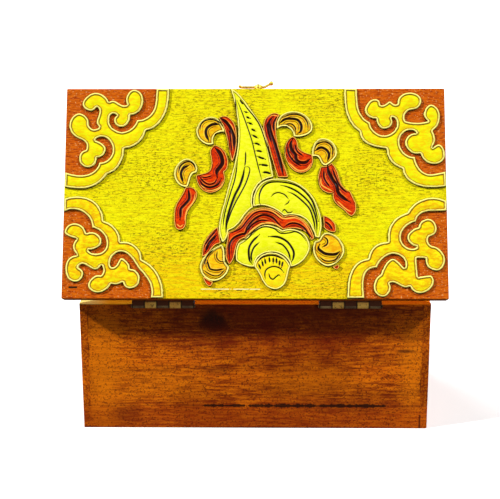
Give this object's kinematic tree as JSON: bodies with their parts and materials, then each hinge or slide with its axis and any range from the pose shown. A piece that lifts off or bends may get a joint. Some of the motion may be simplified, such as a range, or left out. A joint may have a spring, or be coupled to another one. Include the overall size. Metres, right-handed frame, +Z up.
{
  "type": "keepsake box",
  "caption": "Low wooden keepsake box with a hinged painted lid, raised shell and scroll ornament, small brass butt hinges and a swing hook latch.",
  "frame": {"origin": "middle of the base board's underside", "axes": "+Z up; +X along the box's width towards its right end as seen from the front; the hook side faces -Y and the hinges are at +Y"},
  "size_m": [0.2, 0.1263, 0.1825],
  "materials": {
    "varnished_wood": "dark orange-brown varnish over visible grain",
    "painted_lid": "yellow paint with grain showing, red-brown corner grounds, satin varnish",
    "yellow_relief": "yellow painted raised scrolls with cream edges",
    "shell_relief": "pale lemon painted relief with black line work",
    "red_relief": "red painted relief with dark line work",
    "orange_relief": "orange-yellow painted relief with cream edges",
    "brass": "aged brass",
    "nail_steel": "darkened steel"
  },
  "bodies": {
    "box": {"base_board": "varnished_wood", "back_wall": "varnished_wood", "front_wall": "varnished_wood", "left_end_wall": "varnished_wood", "right_end_wall": "varnished_wood", "corner_nails": "nail_steel", "base_nails": "nail_steel", "left_hinge_body_leaf": "brass", "right_hinge_body_leaf": "brass", "left_hinge_pin": "brass", "right_hinge_pin": "brass", "hinge_body_screws": "brass", "keeper_pin": "brass"},
    "lid": {"lid_board": "painted_lid", "corner_scroll_front_right": "yellow_relief", "corner_scroll_front_left": "yellow_relief", "corner_scroll_back_right": "yellow_relief", "corner_scroll_back_left": "yellow_relief", "conch_canal": "shell_relief", "conch_whorl": "shell_relief", "conch_crown": "shell_relief", "conch_spire": "shell_relief", "silk_sash": "red_relief", "right_ribbon_folds": "red_relief", "right_ribbon_curls": "orange_relief", "left_ribbon_folds": "red_relief", "left_ribbon_curls": "orange_relief", "left_hinge_lid_leaf": "brass", "right_hinge_lid_leaf": "brass", "hinge_lid_screws": "brass", "latch_post": "brass"},
    "hook": {"latch_hook": "brass"}
  },
  "joints": [
    {"name": "lid_hinge", "type": "hinge", "parent": "box", "child": "lid", "pos_m": [0, 0.0574, 0.0696], "axis": [1, 0, 0], "range_deg": [-112.5, 67.5]},
    {"name": "hook_swing", "type": "hinge", "parent": "lid", "child": "hook", "pos_m": [-0.0016, 0.01758, 0.17931], "axis": [0, -0.3827, 0.9239], "range_deg": [-60, 270]}
  ]
}
